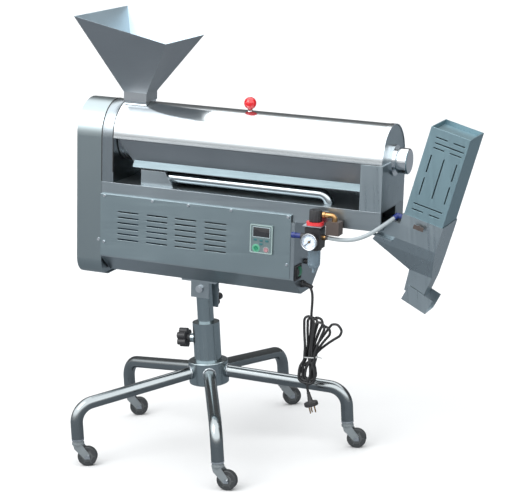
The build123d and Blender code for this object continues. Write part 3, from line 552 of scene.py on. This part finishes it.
def framed(name, box, margins, radii, heights, look, place, edge):
    """A flat frame on the machine, between two rounded outlines inset from a box."""
    outer, inner = [rounded(*inset(box, margin), radius) for margin, radius in zip(margins, radii)]
    shape = ring_shape(outer, inner, *heights)
    soften(piece(name, mesh_of(name, *shape), look, "machine", place), edge)


def make_controller():
    face = CONTROL_FACE
    framed("panel_rim", CONTROL, (0.4, 3.4), (4, 2.5), (face, face + 0.8), "bezel", FRONT, 0.25)
    framed("display_lip", DISPLAY, (-0.8, 0.6), (1.5, 1), (face, face + 0.5), "overlay", FRONT, 0.2)
    window = rounded(*inset(DISPLAY, 0.8), 1)
    plate("display_window", window, face - 1, face - 0.4, "display", "machine", FRONT, edge=0.15)
    keys = [prism(rounded((x - 4.2, x + 4.2), (z - 2.6, z + 2.6), 1, 3), face, face + 0.9)
            for x, z in MENU_KEYS]
    soften(piece("menu_keys", mesh_of("menu_keys", *joined(keys)), "teal", "machine", FRONT), 0.3)
    caps = (("start", 182, 151, 10.5, "green", "mint", "green_plastic"),
            ("stop", 209, 149, 8.2, "pink", "blush", "pink_plastic"))
    for name, x, z, r, look, around, slot in caps:
        place = FRONT @ Matrix.Translation((x / 1000, z / 1000, 0))
        low, high = face - 0.1, face + 0.4
        surround = [(5.9, low), (5.9, high), (r - 0.4, high), (r, face + 0.1), (r, low)]
        turned(name + "_surround", surround, around, "machine", place, segments=36, closed=True)
        profile = [(0, face - 3.1), (5.4, face - 3.1), (5.4, face + 0.9), (5.1, face + 1.4),
                   (4.2, face + 1.5), (3.4, face + 1.2), (0, face + 1)]
        turned(name + "_cap", profile, look, name + "_key", place, 36, replaces=(name + "_key",))


def make_power_switch():
    framed("switch_frame", SWITCH, (-4.5, 0.2), (3, 1), (PANEL_X, PANEL_X + 2.6), "black", SIDE, 0.6)
    arc = [(ROCKER_R * cos(radians(a)), ROCKER_R * sin(radians(a))) for a in range(-45, 46, 5)]
    outline = [(4.2, -13.4)] + arc + [(4.2, 13.4)]
    c, s = cos(ROCKER_THROWN), sin(ROCKER_THROWN)
    outline = [(x * c - z * s, x * s + z * c) for x, z in outline]
    place = aim(BODY, (ROCKER_X, 0, ROCKER_Z), (0, -1, 0))
    halves = (("rocker_green", 50.4, 68.8, "rocker", "green_plastic"),
              ("rocker_black", 69.2, 79.6, "black", "black_plastic"))
    for name, low, high, look, slot in halves:
        plate(name, outline, low, high, look, "power_switch", place, 0.8, ("power_switch",))
    x = PANEL_X
    nut = [(5.2, x + 0.2), (9.6, x + 0.2), (10, x + 1), (10, x + 4), (8.8, x + 5.2), (5.2, x + 5.2)]
    place = SIDE @ Matrix.Translation((GLAND_Y / 1000, GLAND_Z / 1000, 0))
    turned("gland_nut", nut, "black", "machine", place, 6, True)


def make_gauge():
    """Case, bright rim, dial with its ticks, pin and glass; heights are from the case's back."""
    place = aim(BODY, (REG_X, REG_Y - 27, DIAL_Z), (0, -1, 0))
    case = [(0, 0), (17.5, 0), (19.6, 1.2), (20.4, 3), (20.4, 15), (18.6, 15), (18.6, 11.2), (0, 11.2)]
    turned("gauge_case", case, "black", "machine", place, 48, replaces=("pressure_gauge",))
    rim = [(18.4, 15), (18.4, 16.4), (19.2, 17), (20.3, 17), (21, 16.2), (21, 13.4), (20.4, 13)]
    turned("gauge_rim", rim, "chrome", "machine", place, 48, True, ("pressure_gauge",))
    turned("gauge_face", [(0, 11.3), (18.5, 11.3), (18.5, 11.7), (0, 11.7)], "dial", "machine", place)
    marks = []
    for i in range(31):
        turn = radians(225 - 9 * i)
        inner, half = (12.2, 0.42) if i % 5 == 0 else (14.0, 0.22)
        across = (-sin(turn), cos(turn))
        corners = [(r * cos(turn) + side * half * across[0], r * sin(turn) + side * half * across[1])
                   for r, side in ((inner, -1), (16.4, -1), (16.4, 1), (inner, 1))]
        marks.append(prism(corners, 11.7, 11.85))
    piece("gauge_marks", mesh_of("gauge_marks", *joined(marks), False), "ink", "machine", place)
    pin = [(0, 11.5), (1.5, 11.5), (1.5, 14.6), (1.1, 15), (0, 15)]
    turned("gauge_pin", pin, "brass", "machine", place)
    pane = [(0, 15.4), (18.4, 15.4), (18.4, 16.1), (0, 16.1)]
    turned("gauge_glass", pane, "glass", "machine", place).visible_shadow = False


def make_handle():
    place = BODY @ Matrix.Translation((HANDLE_X / 1000, 0, 0))
    stem = [(0, 476.4), (7, 476.4), (7, 478.2), (6.2, 479), (4.2, 479.2), (4, 480), (4, 484), (0, 484)]
    turned("handle_stem", stem, "chrome", "hood", place, 36, replaces=("hood_handle",))
    ball = [(4.2, 479.2), (5.2, 479.6), (5.6, 480.6)]
    ball += [(15.5 * cos(radians(a)), 495 + 15.5 * sin(radians(a))) for a in range(-66, 90, 6)] + [(0, 510.5)]
    turned("handle_ball", ball, "red", "hood", place, 56, replaces=("hood_handle",))


def make_wheels():
    """A ring and six spokes on each face of a wheel, and a dust cap over each swivel."""
    upright = Matrix.Identity(4)
    cap = [(15.1, 57), (15.6, 57), (15.9, 58), (15.9, 61), (15.2, 63.2), (14.1, 63.2), (14.1, 57)]
    for i in range(1, 6):
        joint = JOINTS[f"wheel_spin_{i}"]
        at, along = 1000 * Vector(joint["pos_m"]), Vector(joint["axis"])
        rings = []
        for side in (1, -1):
            outward = aim(upright, (0, 0, 0), (0, 0, side))
            shape = lathe([(8.3, 8.9), (8.3, 9.6), (13.4, 9.6), (14.2, 9.2), (14.2, 8.9)], 40, True)
            rings.append(moved(shape, outward))
            for spoke in range(6):
                bar = prism(rounded((14, 19), (-1.2, 1.2), 1, 3), 8.9, 9.4)
                rings.append(moved(bar, outward @ Matrix.Rotation(radians(60 * spoke), 4, "Z")))
        name = f"wheel_hub_{i}"
        hubs = piece(name, mesh_of(name, *joined(rings)), "hub", f"wheel_{i}", aim(upright, at, along))
        soften(hubs, 0.2, 1)
        swivel = Vector(JOINTS[f"caster_swivel_{i}"]["pos_m"])
        foot = Matrix.Translation((swivel.x, swivel.y, 0))
        turned(f"dust_cap_{i}", cap, "fork", f"caster_{i}", foot, closed=True)


def arch_line(radius, foot, steps=40):
    """(y, z) points over the crown, with straight legs down to the foot."""
    arc = [(-radius * cos(pi * i / steps), AXIS_Z + radius * sin(pi * i / steps)) for i in range(steps + 1)]
    return [(-radius, foot)] + arc + [(radius, foot)]


def make_seams():
    """Dark gaskets beside the inlet frame."""
    for name, x, foot in SEAMS:
        outline = arch_line(HOOD_R + 0.7, foot) + arch_line(HOOD_R - 1.1, foot)[::-1]
        plate(name, outline, x - 1.2, x + 1.0, "rubber", "machine", SIDE, edge=0.2)


def make_beads():
    """Weld beads where the legs meet the hub."""
    beads = []
    around_steps, section_steps = 44, 8
    for angle in LEG_ANGLES:
        joint = Matrix.Translation((HUB_R / 1000, 0, LEG_TOP_Z / 1000))
        turn = Matrix.Rotation(radians(angle), 4, "Z") @ joint @ Matrix.Rotation(radians(90), 4, "Y")
        points, faces = [], []
        for i in range(around_steps):
            around = 2 * pi * i / around_steps
            swell = 1.5 + 0.35 * sin(9 * around) + random.uniform(-0.15, 0.15)
            for k in range(section_steps):
                tip = 2 * pi * k / section_steps
                r = 16.3 + swell * cos(tip)
                points.append((r * cos(around), r * sin(around), swell * sin(tip)))
        for i in range(around_steps):
            a, b = i * section_steps, ((i + 1) % around_steps) * section_steps
            for k in range(section_steps):
                k2 = (k + 1) % section_steps
                faces.append((a + k, b + k, b + k2, a + k2))
        beads.append(moved((points, faces), turn))
    piece("weld_beads", mesh_of("weld_beads", *joined(beads)), "zinc", "stand", STAND)


def make_brush():
    """Bristles in a helix round the core, trimmed a little unevenly."""
    points, faces = [], []
    for i in range(BRISTLES):
        share = i / BRISTLES
        around = 2 * pi * (BRUSH_LENGTH / BRUSH_PITCH) * share + random.uniform(-0.01, 0.01)
        x = BRUSH_LEFT + BRUSH_LENGTH * share + random.uniform(-2.6, 2.6)
        lean = random.uniform(-1.6, 1.6)
        tip = 63.6 - random.uniform(0, 1.6)
        out, across = (cos(around), sin(around)), (-sin(around), cos(around))
        base = len(points)
        for r, width, shift in ((14.5, 0.9, 0), (tip, 0.55, lean)):
            for k in range(3):
                turn = 2 * pi * k / 3
                side = width * cos(turn) + shift
                points.append((x + width * sin(turn) + shift * 0.6, out[0] * r + across[0] * side,
                               AXIS_Z + out[1] * r + across[1] * side))
        faces += [(base, base + 1, base + 4, base + 3), (base + 1, base + 2, base + 5, base + 4),
                  (base + 2, base, base + 3, base + 5), (base + 3, base + 4, base + 5)]
    bristles = mesh_of("bristles", points, faces, False)
    piece("bristles", bristles, "bristle", "brush", BODY, ("spiral_brush",))
    core = [(0, -212), (15.2, -212), (16, -211)]
    core += [(16 - 0.6 * (i % 2), -205 + 10 * i) for i in range(64)] + [(16, 435), (15.2, 436), (0, 436)]
    place = aim(BODY, (0, 0, AXIS_Z), (1, 0, 0))
    turned("brush_core", core, "bristle", "brush", place, 36, replaces=("spiral_brush",))


def make_regulator_trim():
    """The ribbed, dished knob, the bowl's clamping ring and the filter inside the bowl."""
    count = 72
    levels = [(9, 240.3, 0), (15.1, 241, 0.2), (15.5, 242.2, 1), (15.5, 266.5, 1),
              (14.6, 269.3, 0.3), (11, 270, 0), (10, 269, 0), (0, 269, 0)]     # radius, height, rib depth
    points, faces, rings = [], [], []
    for r, z, rib in levels:
        rings.append(len(points))
        for i in range(count):
            reach = r - (0.9 * rib if i % 6 < 2 else 0)
            points.append((reach * cos(2 * pi * i / count), reach * sin(2 * pi * i / count), z))
    for a, b in zip(rings, rings[1:]):
        faces += [(a + i, a + (i + 1) % count, b + (i + 1) % count, b + i) for i in range(count)]
    place = BODY @ Matrix.Translation((REG_X / 1000, REG_Y / 1000, 0))
    knob = piece("regulator_cap", mesh_of("regulator_cap", points, faces), "black", "regulator_knob", place,
                 ("regulator_knob",))
    knob.modifiers.new("split", "EDGE_SPLIT").split_angle = radians(30)
    ring = [(15.6, 170), (17.6, 170.4), (18, 172), (18, 175.6), (15.6, 175.6)]
    turned("bowl_ring", ring, "black", "machine", place, segments=36, closed=True)
    filter_stack = [(0, 148), (7.5, 148), (8, 149), (8, 170), (11, 172), (11, 175), (0, 175)]
    turned("bowl_filter", filter_stack, "nylon", "machine", place, segments=32)


make_controller()
make_power_switch()
make_gauge()
make_handle()
make_wheels()
make_seams()
make_beads()
make_brush()
make_regulator_trim()


# ---- Cords ---------------------------------------------------------------------------

CORD_D = 0.0065
HOSE_D = 0.010
TIE_Z = 262.0
TIE = ((282.6, 316.4), (-42.6, -21.4))             # outside of the tie, x and y
COLUMNS = (286.5, 293.0, 299.5, 306.0, 312.5)     # the cord's strands inside the tie, across
LAYERS = (-38.5, -32.0, -25.5)                    # and from front to back
LEAD = [(289.3, -33, 451.2), (296.2, -33, 450.6), (303.4, -33, 447.2), (309, -33.2, 441.5),
        (312.3, -33.5, 433.7), (313.8, -34, 421.8), (312.6, -34, 404.8), (310.5, -33.5, 390),
        (308.5, -33, 376)]
# Upper loops: centre and radius of the head, direction it leans, the leg's foot on the left,
# columns of the two strands in the tie and the layer they lie in
UPPER = [
    ((303.0, 356.0), 13.0, 90, 289.5, (0, 2), 0),
    ((310.0, 351.0), 13.5, 84, 295.5, (0, 2), 1),
    ((321.5, 350.0), 13.2, 74, 301.5, (0, 2), 2),
    ((330.5, 341.0), 13.4, 66, 307.0, (3, 4), 0),
    ((341.5, 328.5), 14.5, 55, 311.0, (3, 4), 1),
    ((366.5, 331.0), 17.5, 32, 315.0, (3, 4), 2),
]
# Lower loops: middle and radius of the bowl, and how far it leans
LOWER = [
    ((281.0, 206.5), 14.0, -8), ((294.0, 208.0), 17.5, 6), ((286.5, 200.5), 13.6, -3),
    ((298.0, 214.0), 13.2, 9), ((283.0, 214.0), 15.5, -10), ((291.0, 204.0), 14.5, 2),
]


def hank_points():
    """The cord from the gland through the hank to the plug, in the stand's frame."""
    points = list(LEAD)
    down = (COLUMNS[1], LAYERS[2])
    points += [(306.5, -31, 358), (303.5, -28.5, 335), (299, -26.5, 308), (295, -25.8, 285),
               (down[0], down[1], TIE_Z + 8), (down[0], down[1], TIE_Z - 6)]
    for (head, radius, lean, foot, (left, right), layer), (bowl, turn, tilt) in zip(UPPER, LOWER):
        y = LAYERS[layer]
        up = (COLUMNS[left], y)
        side = tan(radians(tilt))
        middle = [(bowl[0] + turn * cos(radians(angle)) + side * 8 * sin(radians(angle)),
                   bowl[1] + turn * sin(radians(angle))) for angle in range(0, -181, -20)]
        first = ((down[0] + middle[0][0] * 2) / 3 + 1.5, 238)
        last = ((up[0] + middle[-1][0] * 2) / 3 - 1.5, 238)
        run = [first] + middle + [last]
        for i, (x, z) in enumerate(run):
            share = i / (len(run) - 1)
            swell = 2.5 * sin(pi * share) * (1 if layer == 1 else -1 if y < LAYERS[1] else 1)
            points.append((x, down[1] + (y - down[1]) * share + swell * 0.6, z))
        points += [(up[0], y, TIE_Z - 7), (up[0], y, TIE_Z + 7)]
        start, end = lean + 92, lean - 96
        arc = [(head[0] + radius * cos(radians(start + (end - start) * i / 9)),
                head[1] + radius * sin(radians(start + (end - start) * i / 9))) for i in range(10)]
        points.append((foot, y, 290))
        points.append(((foot + arc[0][0]) / 2 - (1.0 if layer < 2 else 0), y, (290 + arc[0][1]) / 2))
        for i, (x, z) in enumerate(arc):
            points.append((x, y + 1.2 * sin(2.1 * i + layer), z))
        out = (COLUMNS[right], y)
        points.append(((arc[-1][0] * 2 + out[0]) / 3, y, (arc[-1][1] * 2 + TIE_Z + 16) / 3))
        points.append(((arc[-1][0] + out[0] * 3) / 4 + 1, y, (arc[-1][1] + (TIE_Z + 12) * 3) / 4))
        points += [(out[0], y, TIE_Z + 7), (out[0], y, TIE_Z - 7)]
        down = out
    points += [(307, -27, 240), (300, -30, 222), (293.5, -33, 203), (289.5, -34, 190),
               (288.6, -33.6, 180), (289, -33.2, 172), (290.6, -33, 166)]
    return points


def length_of(item):
    """Length of a curve's own line."""
    bare = bpy.data.objects.new("bare", item.data.copy())
    bare.data.bevel_depth = 0
    mesh = bpy.data.meshes.new_from_object(bare)
    run = [v.co for v in mesh.vertices]
    total = sum((b - a).length for a, b in zip(run, run[1:]))
    bpy.data.meshes.remove(mesh)
    bpy.data.curves.remove(bare.data)
    return total


def make_power_cord():
    route = [spot(STAND, *p) for p in hank_points()]
    flex = cable("power_flex", route, CORD_D, "cord", "machine", replaces=("power_cord", "cord_hank"))

    profile = [(3.0, 0), (8.2, 0), (8.6, 2), (8.6, 5)]
    for i in range(5):
        r = 6.4 - 0.55 * i
        profile += [(r, 6.5 + 4 * i), (r, 8.6 + 4 * i), (r - 0.9, 9.0 + 4 * i), (r - 0.9, 10.2 + 4 * i)]
    profile += [(3.5, 27), (3.0, 27)]
    lead = Vector(LEAD[2]) - Vector(LEAD[0])
    place = aim(STAND, LEAD[0], lead)
    relief = turned("cord_relief", profile, "black", "machine", place, 24)

    outer, inner = rounded(*TIE, 8, 6), rounded(*inset(TIE, 1), 7, 6)
    band = ring_shape(outer, inner, TIE_Z - 1.3, TIE_Z + 1.3)
    head = prism(rounded((314, 319.5), (-35, -29), 1, 2), TIE_Z - 2.6, TIE_Z + 2.6)
    end = moved(prism(rounded((-1, 13), (-1.6, 1.6), 0.8, 2), -0.5, 0.5),
                Matrix.Translation((0.3185, -0.032, TIE_Z / 1000)) @ Matrix.Rotation(radians(12), 4, "Y")
                @ Matrix.Rotation(radians(90), 4, "X"))
    tie = mesh_of("cord_tie", *joined([band, head, end]))
    tie = piece("cord_tie", tie, "nylon", "machine", STAND)
    soften(tie, 0.3, 1)

    down = (sin(radians(12)), 0, -cos(radians(12)))
    neck = [(2.6, -2), (4.2, -2), (4.6, 0), (4.4, 4), (4.9, 5), (4.7, 8), (5.3, 9), (5.2, 12), (6.1, 13.5),
            (6.6, 20), (8.5, 23), (16.5, 23.8), (18, 25.2), (18, 32.6), (16.8, 34), (0, 34)]
    shape = lathe(neck, 32)
    pins = []
    for x, y in ((-6, -5), (6, -5), (0, 7)):
        pin = lathe([(0, 33), (1.8, 33), (1.8, 50.5), (1.1, 52.8), (0, 53)], 14)
        pins.append(([(px + x, py + y, pz) for px, py, pz in pin[0]], pin[1]))
    place = aim(STAND, (290.6, -33, 166), down)
    plug = piece("cord_plug", mesh_of("cord_plug", *shape), "cord", "machine", place, ("power_plug",))
    plug.modifiers.new("split", "EDGE_SPLIT").split_angle = radians(38)
    blades = piece("plug_pins", mesh_of("plug_pins", *joined(pins)), "brass", "machine", place)
    blades.modifiers.new("split", "EDGE_SPLIT").split_angle = radians(38)

    round(length_of(flex), 2)


def make_air_hose():
    route = [(377, -114, 203), (388, -114, 201.8), (402, -113.8, 201.4), (417, -113.6, 201.8),
             (432, -113, 203.4), (447, -111.6, 207), (461, -109.5, 212.4), (475, -107, 219.4),
             (487, -103.5, 227.4), (498, -98, 235.6), (508, -90.5, 243.6), (517, -78, 251.4),
             (525, -63, 258.5)]
    hose = cable("air_hose_tube", [spot(BODY, *p) for p in route], HOSE_D, "hose", "machine", 16,
                 ("air_hose",))
    round(length_of(hose), 3)


make_power_cord()
make_air_hose()


# ---- Stage ---------------------------------------------------------------------------

def make_disc(name, radius, height, colour, rough):
    rings = [radius * share for share in (0.02, 0.1, 0.3, 0.6, 1.0)]
    points, faces = lathe([(0, 0)] + [(1000 * r, 0) for r in rings], 64)
    data = mesh_of(name, points, faces)
    material, tree, principled, place = shader(name + "_paint")
    patches = noise(tree, place, 3.0, 5.0)
    colours = shades(tree, patches, (toned(colour, 0.985), toned(colour, 1.015)))
    tree.links.new(colours, principled.inputs["Base Color"])
    roughness = spread(tree, patches, 0.3, 0.7, rough - 0.05, rough + 0.05)
    tree.links.new(roughness, principled.inputs["Roughness"])
    principled.inputs["Specular IOR Level"].default_value = 0.0
    data.materials.append(material)
    item = bpy.data.objects.new(name, data)
    bpy.context.scene.collection.objects.link(item)
    item.location = (0, 0, height)
    return item


FLOOR = 0.6
DARK = (0.15, 0.165, 0.18)


def make_stage():
    make_disc("floor", 70, -0.0005, (FLOOR, FLOOR, FLOOR), 0.9)
    card = make_disc("grey_card", 14, 0.0002, DARK, 0.9)
    card.visible_camera = card.visible_diffuse = card.visible_shadow = card.visible_transmission = False

    world = bpy.data.worlds.new("studio")
    bpy.context.scene.world = world
    world.use_nodes = True
    tree = world.node_tree
    sky = tree.nodes["Background"]
    place = tree.nodes.new("ShaderNodeTexCoord")
    apart = tree.nodes.new("ShaderNodeSeparateXYZ")
    tree.links.new(place.outputs["Generated"], apart.inputs[0])

    def ramp(value, stops):
        node = tree.nodes.new("ShaderNodeValToRGB")
        elements = node.color_ramp.elements
        for position, shade in stops[1:-1]:
            elements.new(position)
        for element, (position, shade) in zip(elements, stops):
            element.position = position
            element.color = (shade * 0.975, shade * 0.99, shade, 1)
        tree.links.new(value, node.inputs[0])
        return node.outputs[0]

    front = ramp(apart.outputs["Z"], [(0.0, 0.2), (0.08, 0.26), (0.16, 0.42), (0.3, 1.0), (1.0, 0.95)])
    behind = ramp(apart.outputs["Z"], [(0.0, 0.05), (0.5, 0.06), (0.64, 0.16), (0.76, 0.95), (1.0, 0.95)])
    side = spread(tree, apart.outputs["Y"], -0.15, 0.25, 0.0, 1.0)
    mix = tree.nodes.new("ShaderNodeMix")
    mix.data_type = "RGBA"
    tree.links.new(side, mix.inputs[0])
    tree.links.new(front, mix.inputs[6])
    tree.links.new(behind, mix.inputs[7])
    tree.links.new(mix.outputs[2], sky.inputs["Color"])
    sky.inputs["Strength"].default_value = 2.6

    light = bpy.data.lights.new("key", "AREA")
    light.energy, light.size = 60, 2.4
    key = bpy.data.objects.new("key", light)
    bpy.context.scene.collection.objects.link(key)
    key.location = (-1.6, -2.6, 3.4)
    key.rotation_euler = (Vector((0, 0, 0.5)) - key.location).to_track_quat("-Z", "Y").to_euler()
    key.visible_camera = False
    bpy.context.scene.view_settings.view_transform = "Standard"


make_stage()
